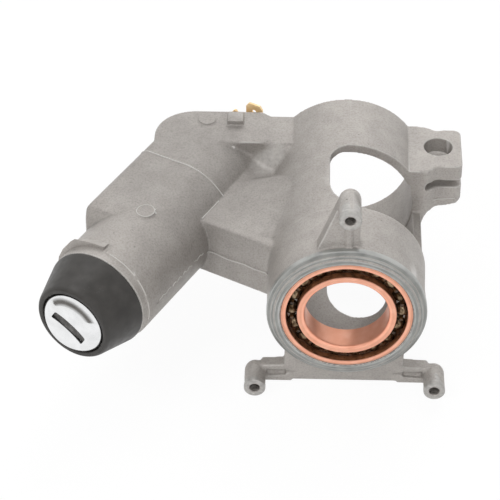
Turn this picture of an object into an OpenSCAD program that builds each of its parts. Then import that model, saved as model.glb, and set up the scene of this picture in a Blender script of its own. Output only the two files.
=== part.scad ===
// Steering-lock housing with ignition lock, column bearing and ignition switch.
// Millimetres. +Y runs along the column tube from the bearing face to the rear,
// +X is to the right and +Z is up. The origin is the centre of the bearing face.

/* [Column tube] */
// length of the tube from the bearing face to the rear end
tube_len = 82; // [70:0.5:100]
// bore that takes the column tube
tube_bore_d = 44; // [36:0.5:54]
// wall of the cast tube
tube_wall = 3.2; // [2:0.1:5]
// length of the clamp band at the rear end
clamp_len = 25.3; // [18:0.1:35]
// distance from the bearing face to the front edge of the windows
collar_len = 24.3; // [18:0.1:32]
// left edge of the windows, left of the column axis
window_left = 5.9; // [2:0.1:12]

/* [Clamp ears] */
// reach of the ears from the column axis
ear_reach = 38.4; // [33:0.1:46]
// height of the upper ear's top above the column axis
ear_top = 14.4; // [10:0.1:20]
// thickness of each ear
ear_t = 5.8; // [3:0.1:8]
// width of the clamp slit
slit_w = 2.6; // [1:0.1:4]
// hole for the clamp bolt
clamp_hole_d = 9.6; // [6:0.1:12]
// distance of the clamp bolt from the column axis
clamp_hole_x = 30.6; // [28:0.1:34]

/* [Bearing] */
// outer diameter of the column bearing
bearing_od = 42; // [34:0.5:50]
// radial thickness of the bearing from its bore to its outside
bearing_section = 7.6; // [6.6:0.1:9]
// width of the bearing rings
bearing_w = 8.6; // [6:0.1:12]
// diameter of the balls
ball_d = 4.7; // [3:0.1:6]
// number of balls
ball_n = 18; // [10:1:20]

/* [Bosses] */
// radius of the circle that the three bosses stand on
boss_circle_r = 41.1; // [36:0.1:50]
// outer diameter of a boss
boss_d = 6.9; // [5:0.1:10]
// thread bore of a boss
boss_hole_d = 3.4; // [2:0.1:5]
// depth of the thread bore
boss_hole_len = 10; // [6:0.5:14]
// distance that the boss faces stand in front of the bearing face
boss_front = 3; // [0:0.1:6]

/* [Lock barrel] */
// angle between the lock axis and the column axis
lock_angle = 28.65; // [20:0.05:35]
// distance of the lock face left of the column axis
lock_x = 86.7; // [80:0.1:95]
// distance of the lock face in front of the tube's rear end
lock_back = 88.2; // [82:0.1:94]
// outer diameter of the barrel
barrel_d = 35.2; // [32:0.1:40]
// outer diameter of the lock sleeve
sleeve_d = 23.8; // [20:0.1:25]
// diameter of the lock plug
plug_d = 17; // [15:0.1:18.5]
// tilt of the key slot in the locked position
slot_tilt = 32; // [0:1:60]
// length of the key slot
slot_len = 12.8; // [11:0.1:14]
// height of the key slot
slot_h = 2.6; // [2:0.1:3.2]
// diameter of the chrome cap
cap_d = 21.8; // [20:0.1:22.2]
// number of wafers
wafer_n = 8; // [8:1:8]
// distance between wafers
wafer_pitch = 4; // [3.4:0.1:4.4]

/* [Steering lock] */
// distance from the lock face to the middle of the bolt
bolt_s = 62; // [61:0.1:64]
// width of the bolt along the lock axis
bolt_w = 8; // [6:0.1:9]
// height of the bolt
bolt_h = 10; // [8:0.1:11]
// travel of the bolt
bolt_travel = 6.5; // [4:0.1:6.5]
// turn of the key over which the bolt travels
key_turn = 110; // [100:1:130]
// reach of the cam when the bolt is out
cam_low = 4; // [3.5:0.1:4.2]

/* [Ignition switch] */
// distance from the lock face to the front of the switch pocket
pocket_s = 72; // [71:0.1:74]
// length of the head along the lock axis, from the front of the pocket
head_len = 31.24; // [28:0.02:36]
// outer diameter of the switch case
switch_d = 25.7; // [22:0.1:26]
// length of the switch case
switch_len = 24; // [20:0.1:28]
// width of a large terminal blade
blade_w = 6.3; // [4.8:0.1:6.3]
// thickness of a terminal blade
blade_t = 0.8; // [0.5:0.1:1]

/* [Fits] */
// radial gap of a running fit
run_gap = 0.05; // [0.02:0.01:0.1]
// gap of a seated piece
seat_gap = 0.03; // [0.01:0.01:0.1]
// gap on each side of a sliding piece
slide_gap = 0.15; // [0.05:0.01:0.3]

/* [Hidden] */
$fn = 96;
tube_r = tube_bore_d / 2;
tube_ro = tube_r + tube_wall;
cast_r = tube_r + 0.4;
clamp_y = tube_len - clamp_len;
lock_y = lock_back - tube_len;
head_rear = (pocket_s + head_len) * cos(lock_angle) - lock_y;
head_front = head_rear - 17.3;
head_left = lock_x - 22;
tail_y = max(tube_len, head_rear) + 1;
slit_z = ear_top - ear_t - slit_w / 2;
ear_low = slit_z - slit_w / 2 - ear_t;
clamp_hole_y = clamp_y + clamp_len * 0.55;
bear_y = 0.3;
lip_y = bear_y + bearing_w;
bearing_bore_d = bearing_od - 2 * bearing_section;
bearing_r = bearing_od / 2;
collar_ro = max(bearing_r + 4.45, tube_ro + 0.25);
ball_ring_r = (bearing_od + bearing_bore_d) / 4 + 0.45;
race_gap = 1.8;
barrel_r = barrel_d / 2;
plug_r = plug_d / 2;
sleeve_r = sleeve_d / 2;
sleeve_hole_r = sleeve_r + 0.1;
cap_r = cap_d / 2;
bezel_r1 = sleeve_r + 1.5;
bezel_r2 = barrel_r - 0.45;
spigot_r = bezel_r(9.7) - 1.26;
spigot_tip_r = bezel_r(5) - 1.48;
step_s = pocket_s - 2.5;
head_top = barrel_r - 0.15;
head_low = -15;
cam_k = bolt_travel / (key_turn * PI / 180);
cam_high = cam_low + bolt_travel;
cam_gap = 0.15;
finger_t = 2.5;
arm_low = cam_low + 1.5;
arm_high = arm_low + 4;
neck_u = cam_low + bolt_travel + 0.7;
cover_u = barrel_r - 2.4;
corner_u = barrel_r;
corner_r = 3.6;
cover_t = 1.3;
pocket_r = switch_d / 2 + 0.15;
switch_r = switch_d / 2;
case_end = pocket_s + switch_len;
blade_s = case_end + 12.2;

// placing: the lock's own frame has X to the right, Y along its axis and Z up
// outer radius of the bezel's cone at a distance from the lock face
function bezel_r(s) = bezel_r1 + (bezel_r2 - bezel_r1) * (s - 1.3) / 12.8;

module at_lock() translate([-lock_x, -lock_y, 0]) rotate([0, 0, -lock_angle]) children();
module at_plug() at_lock() rotate([0, slot_tilt, 0]) children();
module turned() rotate([-90, 0, 0]) rotate_extrude() children();
module rod_y(r, y0, y1) translate([0, y0, 0]) rotate([-90, 0, 0]) cylinder(r = r, h = y1 - y0);
module slab_y(y0, y1) translate([0, y1, 0]) rotate([90, 0, 0]) linear_extrude(height = y1 - y0) children();
module slab_z(z0, z1) translate([0, 0, z0]) linear_extrude(height = z1 - z0) children();
module box(x0, x1, y0, y1, z0, z1) translate([x0, y0, z0]) cube([x1 - x0, y1 - y0, z1 - z0]);
module rect(x0, x1, y0, y1) translate([x0, y0]) square([x1 - x0, y1 - y0]);
// a point of the lock's frame in plan
function plan(u, s) = [-lock_x + s * sin(lock_angle) + u * cos(lock_angle),
    -lock_y + s * cos(lock_angle) - u * sin(lock_angle)];

// a wire coil around Y from y0 to y1
module coil(r, wire, turns, y0, y1, steps = 14, sides = 6) {
    n = turns * steps;
    pts = [for (i = [0:n]) for (j = [0:sides - 1])
        let (a = i * 360 / steps, b = j * 360 / sides, q = r + wire * cos(b))
        [q * cos(a), y0 + wire + (y1 - y0 - 2 * wire) * i / n + wire * sin(b), q * sin(a)]];
    lower = [for (i = [0:n - 1]) for (j = [0:sides - 1]) let (k = (j + 1) % sides)
        [i * sides + j, (i + 1) * sides + j, (i + 1) * sides + k]];
    upper = [for (i = [0:n - 1]) for (j = [0:sides - 1]) let (k = (j + 1) % sides)
        [i * sides + j, (i + 1) * sides + k, i * sides + k]];
    ends = [[for (j = [0:sides - 1]) j], [for (j = [sides - 1:-1:0]) n * sides + j]];
    polyhedron(points = pts, faces = concat(lower, upper, ends), convexity = 6);
}

// plan of the upper and lower windows, open to the right up to x1
module window_plan(x1, y1) {
    r1 = 13.7;
    r2 = 7;
    rect(r1 - window_left, x1, collar_len, y1);
    rect(-window_left, x1, collar_len + r1, y1 - r2);
    rect(r2 - window_left, x1, y1 - r2 - 0.1, y1);
    translate([r1 - window_left, collar_len + r1]) circle(r1);
    translate([r2 - window_left, y1 - r2]) circle(r2);
}

module ear_plan() {
    r = 2.4;
    y0 = clamp_y + 2.8;
    y1 = tube_len - 2;
    rect(14, 26.5, clamp_y, tube_len);
    polygon([[26.4, clamp_y], [30, y0], [30, y1], [26.4, tube_len]]);
    rect(26, ear_reach - r, y0, y1);
    rect(26, ear_reach, y0 + r, y1 - r);
    translate([ear_reach - r, y0 + r]) circle(r);
    translate([ear_reach - r, y1 - r]) circle(r);
}

module head_plan() {
    r = 13.4;
    polygon([[-head_left, head_front - 7.1], [-head_left, head_rear - r], [r - head_left, head_rear],
        [-tube_ro - 3.6, head_rear], [-tube_ro - 0.5, head_rear - 2.4], [-tube_r + 4, head_rear - 2.4],
        [-tube_r + 4, head_front], [-43.9, head_front], [-52, head_front - 9.1]]);
    translate([r - head_left, head_rear - r]) intersection() {
        circle(r);
        rect(-r - 1, 1, -1, r + 1);
    }
}

module lower_arm(side) {
    x = boss_circle_r * cos(45) * side;
    z = -boss_circle_r * sin(45);
    r = boss_d / 2;
    translate([x, 0, z]) {
        rod_y(r, -boss_front, 5.6);
        translate([0, 5.6, 0]) sphere(r);
        translate([0, 5.6, 0]) rotate([0, -90 * side, 0]) cylinder(r = r - 0.1, h = 12);
    }
    slab_y(4.4, 8.6) polygon([[x - side * 2, z - 2.6], [x - side * 2, z + 3.2],
        [18 * side, z + 3.9], [18 * side, z - 2.5]]);
}

module casting() {
    // tube with its stepped front rim
    turned() polygon([[0, 0], [bearing_r + 1.9, 0], [bearing_r + 1.9, 0.5], [bearing_r + 3.1, 0.5],
        [bearing_r + 3.1, 0.95], [collar_ro, 1.8], [collar_ro, collar_len - 1], [tube_ro, collar_len],
        [tube_ro, tube_len], [0, tube_len]]);
    // clamp ears and the curve under the lower one
    slab_z(ear_low, ear_top) ear_plan();
    intersection() {
        slab_z(ear_low - 9, ear_low + 1) ear_plan();
        slab_y(clamp_y, tube_len) polygon([[14, ear_low + 2], [ear_reach + 1, ear_low + 2],
            [ear_reach + 1, ear_low + 1], [ear_reach - 1.6, ear_low - 1.2], [ear_reach - 7.3, ear_low - 2.6],
            [ear_reach - 11, ear_low - 3.7], [ear_reach - 12.3, ear_low - 5.5], [ear_reach - 13, ear_low - 8],
            [14, ear_low - 8]]);
    }
    // barrel, its collar and the spigot under the bezel
    at_lock() {
        turned() polygon([[0, 5], [spigot_tip_r, 5], [spigot_r, 9.7], [spigot_r, 16], [0, 16]]);
        rod_y(barrel_r - 0.4, 15, 23);
        rod_y(barrel_r, 22, step_s);
        intersection() {
            rod_y(barrel_r, 18, 22.5);
            slab_y(17, 23) polygon([[2, 30], [30, 30], [30, -30], [-30, -30], [-30, -2], [2, 2]]);
        }
        rod_y(barrel_r - 0.3, step_s - 1, pocket_s + 22);
        // squared upper left corner of the barrel
        intersection() {
            slab_y(20, pocket_s + 10) {
                rect(-corner_u, 0, 0, barrel_r - 0.1 - corner_r);
                rect(-corner_u + corner_r, 0, 0, barrel_r - 0.1);
                translate([-corner_u + corner_r, barrel_r - 0.1 - corner_r]) circle(corner_r);
            }
            rotate([90, 0, 90]) translate([0, 0, -20]) linear_extrude(height = 20)
                polygon([[32.6, 0], [32.6, 10], [33.6, 13.5], [36.3, 16.3], [40.6, barrel_r],
                    [step_s, barrel_r], [step_s, barrel_r - 0.4],
                    [pocket_s + 10, barrel_r - 0.4], [pocket_s + 10, 0]]);
            slab_z(-1, barrel_r + 1) polygon([[1, 32], [3 - corner_u, 32], [1.1 - corner_u, 33.8],
                [-corner_u - 0.1, 36.8], [-corner_u - 0.1, pocket_s + 11], [1, pocket_s + 11]]);
        }
        // round mark on the barrel
        translate([1.8, 41.8, 15]) cylinder(r = 3, h = barrel_r - 14.9);
    }
    // block between barrel and tube, and its blend into the tube
    slab_z(-8.5, 10) polygon([plan(4, bolt_s - 7.3), plan(46, bolt_s - 7.3), [-tube_r + 4, head_front + 2.9],
        [-44, head_front + 2.9]]);
    slab_y(collar_len - 2.3, head_front + 0.9) polygon([[-19.3, 16.3], [-24.1, 9.9], [-24.1, 8.6],
        [-18, 8.6]]);
    // head around the switch
    slab_z(head_low, head_top) head_plan();
    translate([17.3 - head_left, head_rear - 5.1, head_top - 1]) cylinder(r = 2.9, h = 1.5);
    rotate([90, 0, 90]) translate([0, 0, -40.3]) linear_extrude(height = 5.1)
        polygon([[head_rear - 7.8, head_top - 1], [head_rear - 7.8, head_top + 1.8],
            [head_rear - 0.3, head_top + 0.2],
            [head_rear - 0.3, head_top - 1]]);
    // top boss on its web
    translate([0, 0, boss_circle_r]) {
        rod_y(boss_d / 2, -boss_front, 8);
        translate([0, 8, 0]) sphere(boss_d / 2 - 0.05);
    }
    slab_y(4.2, 9.5) polygon([[-9.8, 20], [-9.8, 24], [-2.9, boss_circle_r + 1.5], [3.4, boss_circle_r],
        [3.4, 20]]);
    slab_y(3.4, 5) polygon([[-0.9, 22], [-0.9, boss_circle_r - 2], [0.9, boss_circle_r - 2], [0.9, 22]]);
    // foot with the two lower bosses
    slab_y(4.2, 13) polygon([[-19.6, -12], [19, -12], [19, -31.4], [-19.6, -31.4]]);
    lower_arm(-1);
    lower_arm(1);
}

module casting_cuts() {
    // column bore, bearing seat and the lip between them
    turned() polygon([[0, -1], [bearing_r + 0.8, -1], [bearing_r + seat_gap, bear_y],
        [bearing_r + seat_gap, lip_y], [bearing_r - 1.4, lip_y], [bearing_r - 1.4, lip_y + 3.1],
        [cast_r, lip_y + 3.1], [cast_r, clamp_y], [tube_r, clamp_y], [tube_r, tail_y], [0, tail_y]]);
    // upper window, which also opens the right side, and the lower window
    slab_z(-2.6, 60) window_plan(60, clamp_y);
    slab_z(-60, -4) intersection() {
        window_plan(13.5, 54);
        union() {
            rect(-20, 8, 0, 80);
            rect(-20, 13.5, collar_len + 5.5, 48.5);
            translate([8, collar_len + 5.5]) circle(5.5);
            translate([8, 48.5]) circle(5.5);
        }
    }
    // clamp slit and bolt hole
    box(10, 60, clamp_y - 1, tube_len + 1, slit_z - slit_w / 2, slit_z + slit_w / 2);
    translate([clamp_hole_x, clamp_hole_y, ear_low - 12]) cylinder(d = clamp_hole_d, h = 40);
    translate([clamp_hole_x, clamp_hole_y, ear_low - 12]) cylinder(d = clamp_hole_d + 1.2, h = 12.8);
    // thread bores of the bosses
    for (a = [90, 225, 315])
        translate([boss_circle_r * cos(a), 0, boss_circle_r * sin(a)])
            rod_y(boss_hole_d / 2, -boss_front - 1, boss_hole_len - boss_front);
    for (side = [-1, 1]) {
        x = boss_circle_r * cos(45) * side;
        z = -boss_circle_r * sin(45);
        slab_y(3, 5.6) polygon([[19 * side, z + 1.9], [x - side * 3.9, z + 1.5],
            [x - side * 3.9, z - 1.1], [19 * side, z - 0.6]]);
    }
    at_lock() {
        // lock bore, web bore and switch pocket
        rod_y(sleeve_hole_r, 2, pocket_s - 4);
        rod_y(5 + run_gap, bolt_s - 2, pocket_s + 1);
        rod_y(pocket_r, pocket_s, pocket_s + 63);
        // bolt channel from the cover seat to the tube
        slab_y(bolt_s - bolt_w / 2 - slide_gap, bolt_s + bolt_w / 2 + slide_gap) {
            rect(-cover_u - 1, 46, -bolt_h / 2 - slide_gap, bolt_h / 2 + slide_gap);
            rect(-cover_u - 1, neck_u + 1.8, -bolt_h / 2 - slide_gap, arm_high + slide_gap);
        }
        // flat and seat for the bolt cover
        box(-30, -cover_u, bolt_s - 7.5, bolt_s + 7.4, -9, 12.8);
        box(-30, -cover_u + cover_t, bolt_s - bolt_w / 2 - 1.8, bolt_s + bolt_w / 2 + 1.8,
            -bolt_h / 2 - 1.8, arm_high + 1.8);
        // pin hole of the sleeve and thread of the switch screw
        translate([0, pin_hole_s, -barrel_r - 1]) cylinder(r = pin_hole_r, h = 8.6);
        translate([0, pocket_s + 12, -30]) cylinder(r = 1.72, h = 20);
    }
}

module housing() color([0.68, 0.66, 0.63]) difference() {
    casting();
    casting_cuts();
}

// column bearing
module ball_groove() translate([ball_ring_r, bear_y + bearing_w / 2]) circle(ball_d / 2 + 0.06);

module bearing_outer_ring() color([0.86, 0.58, 0.46]) turned() difference() {
    rect(ball_ring_r + race_gap, bearing_r, bear_y, lip_y);
    ball_groove();
}

module bearing_inner_ring() color([0.86, 0.58, 0.46]) turned() difference() {
    polygon([[bearing_bore_d / 2 + 0.5, bear_y], [ball_ring_r - race_gap, bear_y],
        [ball_ring_r - race_gap, bear_y + bearing_w], [bearing_bore_d / 2 + 0.5, bear_y + bearing_w],
        [bearing_bore_d / 2, bear_y + bearing_w - 0.5], [bearing_bore_d / 2, bear_y + 0.5]]);
    ball_groove();
}

module bearing_balls() color([0.8, 0.8, 0.8]) for (i = [0:ball_n - 1])
    rotate([0, i * 360 / ball_n, 0])
        translate([ball_ring_r, bear_y + bearing_w / 2, 0]) sphere(ball_d / 2);

module bearing_cage() color([0.4, 0.25, 0.12]) difference() {
    turned() rect(ball_ring_r - 1.15, ball_ring_r + 1.15, bear_y + 1.1, bear_y + bearing_w - 1.1);
    for (i = [0:ball_n - 1]) rotate([0, i * 360 / ball_n, 0])
        translate([ball_ring_r - 3, bear_y + bearing_w / 2, 0])
            rotate([0, 90, 0]) cylinder(r = ball_d / 2 + 0.05, h = 6);
}

// lock cylinder
module lock_bezel() color([0.1, 0.1, 0.1]) at_lock() turned() polygon([[cap_r + 0.4, 0.7],
    [cap_r + 0.7, 0.4], [bezel_r1 - 0.8, 0.4], [bezel_r1 - 0.3, 0.7], [bezel_r1, 1.3], [bezel_r2, 14.1],
    [bezel_r2, 14.8], [spigot_r + 0.05, 14.8], [spigot_r + 0.05, 9.65], [spigot_tip_r + 0.05, 4.95], [sleeve_r + 0.4, 2.9], [cap_r + 0.4, 2.9]]);

module plug_cap() color([0.85, 0.86, 0.88]) difference() {
    at_lock() turned() difference() {
        polygon([[0, -2.1], [cap_r - 3, -2.1], [cap_r - 2.3, -1.66], [cap_r - 1.35, -0.9],
            [cap_r - 0.5, 0], [cap_r, 0.8], [cap_r, 3], [0, 3]]);
        polygon([[-1, -1.2], [cap_r - 2.9, -1.2], [cap_r - 1, 0.5], [cap_r - 1, 4], [-1, 4]]);
    }
    at_plug() box(-slot_len / 2, slot_len / 2, -4, 0, -slot_h / 2, slot_h / 2);
}

wafer_s0 = 9;
wafer_t = 1.2;
wafer_half = plug_r - 1.1;
plug_end = wafer_s0 + wafer_pitch * (wafer_n - 1) + 10.5;
sleeve_end = plug_end - 2.3;
clip_s = plug_end - 1.9;
clip_t = 0.8;
pin_hole_s = wafer_s0 + wafer_pitch * 4.75;
pin_hole_r = 1.62;
pin_z = -2.3;
pin_s = -0.35;

module at_wafer(i) at_plug() translate([0, wafer_s0 + wafer_pitch * i, 0])
    rotate([0, 180 * (i % 2), 0]) children();

module lock_plug() color([0.72, 0.66, 0.5]) difference() {
    union() {
        at_lock() turned() polygon([[0, -1.2 + seat_gap], [cap_r - 2.9 - seat_gap, -1.2 + seat_gap],
            [cap_r - 1 - seat_gap, 0.5 + seat_gap], [cap_r - 1 - seat_gap, 3], [0, 3]]);
        at_lock() rod_y(plug_r, 2.9, plug_end);
        at_plug() box(-5.5, 5.5, plug_end - 0.5, plug_end + 3.5, -1.5, 1.5);
    }
    at_plug() {
        // shutter room with the holes for its pin, and the keyway
        box(-slot_len / 2 - 0.2, slot_len / 2 + 0.2, -3, 3.6, pin_z - 0.9, 1.9);
        translate([0, pin_s, pin_z]) rotate([0, 90, 0]) cylinder(r = 0.46, h = slot_len + 2.2, center = true);
        box(-4.8, 4.8, -3, plug_end - 3.5, -1.25, 1.25);
    }
    for (i = [0:wafer_n - 1]) at_wafer(i) {
        box(-20, 20, -wafer_t / 2 - 0.06, wafer_t / 2 + 0.06, -3.26, 3.26);
        box(0, 2.5, -wafer_t / 2 - 0.06, wafer_t / 2 + 0.06, 3, 5.1);
        translate([-3.6, 0, 4.1]) rotate([0, 90, 0]) cylinder(r = 0.9, h = 3.8);
    }
    at_lock() rotate([-90, 0, 0]) translate([0, 0, clip_s - 0.1]) difference() {
        cylinder(r = plug_r + 3.5, h = clip_t + 0.2);
        translate([0, 0, -1]) cylinder(r = plug_r - 1, h = 3);
    }
}

module wafer(i) color([0.8, 0.66, 0.36]) at_wafer(i) difference() {
    union() {
        box(-wafer_half, wafer_half, -wafer_t / 2, wafer_t / 2, -3.2, 3.2);
        box(0.6, 1.9, -wafer_t / 2, wafer_t / 2, 3, 4.9);
    }
    box(-5.2 + 0.12 * (i % 3), 4.9 + 0.12 * (i % 3), -2, 2, -1.5, 1.5);
}
module wafer_1() wafer(0);
module wafer_2() wafer(1);
module wafer_3() wafer(2);
module wafer_4() wafer(3);
module wafer_5() wafer(4);
module wafer_6() wafer(5);
module wafer_7() wafer(6);
module wafer_8() wafer(7);

module wafer_springs() color([0.7, 0.7, 0.72]) for (i = [0:wafer_n - 1]) at_wafer(i)
    translate([0, 0, 4.1]) rotate([0, 0, -90]) coil(0.62, 0.14, 4, -3.55, 0.55, 8, 4);

module plug_clip() color([0.6, 0.6, 0.6]) at_lock() difference() {
    turned() rect(plug_r - 0.95, plug_r + 1.6, clip_s, clip_s + clip_t);
    slab_y(clip_s - 1, clip_s + clip_t + 1) polygon([[0, 0], [9, 30], [-9, 30]]);
}

module slot_shutter() color([0.75, 0.75, 0.77]) at_plug() {
    w = slot_len / 2 - 0.05;
    box(-w, w, -1.1, -0.55, -1.25, 1.65);
    box(-w, w - 2, -1.1, -0.3, pin_z - 0.3, -1.2);
    translate([0, pin_s, pin_z]) rotate([0, 90, 0]) cylinder(r = 0.4, h = slot_len + 2, center = true);
}

module shutter_spring() color([0.7, 0.7, 0.72]) at_plug()
    translate([0, pin_s, pin_z]) rotate([0, 0, -90])
        coil(0.6, 0.13, 3, slot_len / 2 - 1.9, slot_len / 2 - 0.3, 12, 5);

module lock_sleeve() color([0.6, 0.6, 0.6]) difference() {
    at_lock() rod_y(sleeve_r, 3.3, sleeve_end);
    at_lock() rod_y(plug_r + run_gap, 2, sleeve_end + 1);
    at_plug() box(-plug_r - 1.1, plug_r + 1.1, wafer_s0 - 3, sleeve_end + 1, -3.5, 3.5);
    at_lock() translate([0, pin_hole_s, -barrel_r - 1]) cylinder(r = pin_hole_r, h = 8.2);
}

module sleeve_pin() color([0.6, 0.6, 0.62]) at_lock()
    translate([0, pin_hole_s, -barrel_r + 1]) cylinder(r = pin_hole_r - 0.02, h = 6);

// cam: reach to the left grows in step with the turn of the key
function cam_flank(f) = let (h = cam_low + cam_k * (f - 180) * PI / 180)
    [h * cos(f) - cam_k * sin(f), h * sin(f) + cam_k * cos(f)];
cam_tip = cam_flank(180 + key_turn);
cam_tip_r = norm(cam_tip);
cam_back = atan2(cam_tip[1], cam_tip[0]) + acos(cam_low / cam_tip_r);

module drive_shaft() color([0.66, 0.66, 0.68]) at_lock() difference() {
    union() {
        rod_y(plug_r - 1, plug_end + 0.3, bolt_s - 6);
        rod_y(cam_low - 0.4, bolt_s - 7, pocket_s);
        rod_y(5, pocket_s - 5.7, pocket_s + 0.4);
        slab_y(bolt_s - bolt_w / 2 + 0.5, bolt_s + bolt_w / 2 - 0.5) polygon(concat(
            [for (f = [cam_back:8:180]) [cam_low * cos(f), cam_low * sin(f)]],
            [for (f = [180:5:180 + key_turn]) cam_flank(f)]));
        rotate([0, slot_tilt, 0]) box(-3.9, 3.9, pocket_s, pocket_s + 11.5, -1.4, 1.4);
    }
    rotate([0, slot_tilt, 0]) box(-5.7, 5.7, plug_end - 1, plug_end + 3.7, -1.6, 1.6);
}

// lock bolt: a hook over the cam, with its spring in the arm
module lock_bolt() color([0.62, 0.62, 0.64]) at_lock() difference() {
    union() {
        s0 = bolt_s - bolt_w / 2;
        s1 = bolt_s + bolt_w / 2;
        tip = tube_r - 5.7;
        u0 = (lock_x - tip - s0 * sin(lock_angle)) / cos(lock_angle);
        u1 = (lock_x - tip - s1 * sin(lock_angle)) / cos(lock_angle);
        slab_z(-bolt_h / 2, bolt_h / 2) polygon([[neck_u, s0], [u0, s0], [u1, s1], [neck_u, s1]]);
        box(neck_u, neck_u + 1.6, s0, s1, -bolt_h / 2, arm_high);
        box(-cam_low - cam_gap - finger_t, neck_u + 1.6, s0, s1, arm_low, arm_high);
        box(-cam_low - cam_gap - finger_t, -cam_low - cam_gap, s0, s1, -4.8, arm_high);
    }
    translate([-20, bolt_s, (arm_low + arm_high) / 2]) rotate([0, 90, 0]) cylinder(r = 1.5, h = 26);
}

module bolt_spring() color([0.7, 0.7, 0.72]) at_lock()
    translate([0, bolt_s, (arm_low + arm_high) / 2]) rotate([0, 0, -90])
        coil(1.1, 0.25, 9, -cover_u + cover_t + 0.05, 5.95, 10, 5);

module bolt_cover() color([0.62, 0.62, 0.64]) at_lock()
    box(-cover_u + 0.05, -cover_u + cover_t, bolt_s - bolt_w / 2 - 1.75, bolt_s + bolt_w / 2 + 1.75,
        -bolt_h / 2 - 1.75, arm_high + 1.75);

// ignition switch
case_in = switch_r - 1.6;
board_s = case_end - 7.5;

module switch_case() color([0.13, 0.12, 0.11]) at_lock() difference() {
    rod_y(switch_r, pocket_s + 0.5, case_end);
    rod_y(case_in, pocket_s + 2.5, case_end + 1);
    rod_y(5.9, pocket_s, pocket_s + 3);
    translate([0, pocket_s + 12, -switch_r - 1]) cylinder(r = 1.72, h = 1.8);
}

module switch_rotor() color([0.75, 0.7, 0.6]) at_lock() difference() {
    union() {
        rod_y(5.8, pocket_s + 0.7, pocket_s + 8);
        rod_y(case_in - 0.4, pocket_s + 7.2, pocket_s + 14);
    }
    rotate([0, slot_tilt, 0]) box(-4.05, 4.05, pocket_s, pocket_s + 12, -1.5, 1.5);
}

module return_spring() color([0.7, 0.7, 0.72]) at_lock()
    coil(6.9, 0.5, 3, pocket_s + 2.7, pocket_s + 7, 18, 6);

module contact_bridge() color([0.85, 0.55, 0.4]) at_lock() difference() {
    union() {
        rod_y(4, pocket_s + 14, pocket_s + 15);
        for (a = [20, 140, 260]) rotate([0, a, 0]) {
            box(0, 8, pocket_s + 14, pocket_s + 15, -1.6, 1.6);
            translate([8, 0, 0]) rod_y(1.6, pocket_s + 14, pocket_s + 15.2);
        }
    }
    rod_y(1.5, pocket_s + 13, pocket_s + 17);
}

// [offset right, height of the leg, turn of the blade about the axis, width, length]
blades = [[3.7, 6, 0, blade_w, 12.7], [-3.85, 6, 0, 2.8, 7.7],
    [-4.2, 6.2, 180, blade_w, 9], [4.2, 6.2, 180, blade_w, 9], [0, 8, 270, blade_w, 8]];

module at_blade(b) at_lock() rotate([0, b[2], 0]) translate([b[0], 0, b[1]]) children();

module terminal(i) color([0.86, 0.72, 0.42]) {
    b = blades[i];
    w = b[3] / 2;
    at_blade(b) {
        box(-w, w, board_s - 0.7, blade_s + blade_t / 2, -blade_t / 2, blade_t / 2);
        difference() {
            slab_y(blade_s - blade_t / 2, blade_s + blade_t / 2) polygon([[-w, -blade_t / 2],
                [w, -blade_t / 2], [w, b[4] - 1.4], [w - 1, b[4]], [-w + 1, b[4]], [-w, b[4] - 1.4]]);
            translate([0, 0, b[4] - 3]) rod_y(w > 2 ? 0.85 : 0.5, blade_s - 2, blade_s + 2);
        }
    }
}
module terminal_1() terminal(0);
module terminal_2() terminal(1);
module terminal_3() terminal(2);
module terminal_4() terminal(3);
module terminal_5() terminal(4);

module terminal_board() color([0.45, 0.28, 0.16]) difference() {
    at_lock() {
        rod_y(case_in - seat_gap, board_s, case_end + 0.1);
        rod_y(switch_r - 0.1, case_end + seat_gap, case_end + 4);
        rod_y(4, case_end + 3.5, case_end + 6);
    }
    for (b = blades) at_blade(b)
        box(-b[3] / 2 - 0.03, b[3] / 2 + 0.03, board_s - 2, blade_s, -blade_t / 2 - 0.03, blade_t / 2 + 0.03);
}

module switch_screw() color([0.6, 0.6, 0.62]) at_lock() translate([0, pocket_s + 12, 0]) difference() {
    translate([0, 0, head_low - 2.6]) cylinder(r = 1.7, h = 4.2);
    box(-3, 3, -0.3, 0.3, head_low - 4, head_low - 1.7);
}

housing();
bearing_outer_ring();
bearing_inner_ring();
bearing_cage();
bearing_balls();
lock_bezel();
lock_sleeve();
sleeve_pin();
lock_plug();
plug_cap();
plug_clip();
slot_shutter();
shutter_spring();
wafer_1();
wafer_2();
wafer_3();
wafer_4();
wafer_5();
wafer_6();
wafer_7();
wafer_8();
wafer_springs();
drive_shaft();
lock_bolt();
bolt_spring();
bolt_cover();
switch_case();
switch_rotor();
return_spring();
contact_bridge();
terminal_board();
terminal_1();
terminal_2();
terminal_3();
terminal_4();
terminal_5();
switch_screw();
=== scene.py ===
import math

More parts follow.
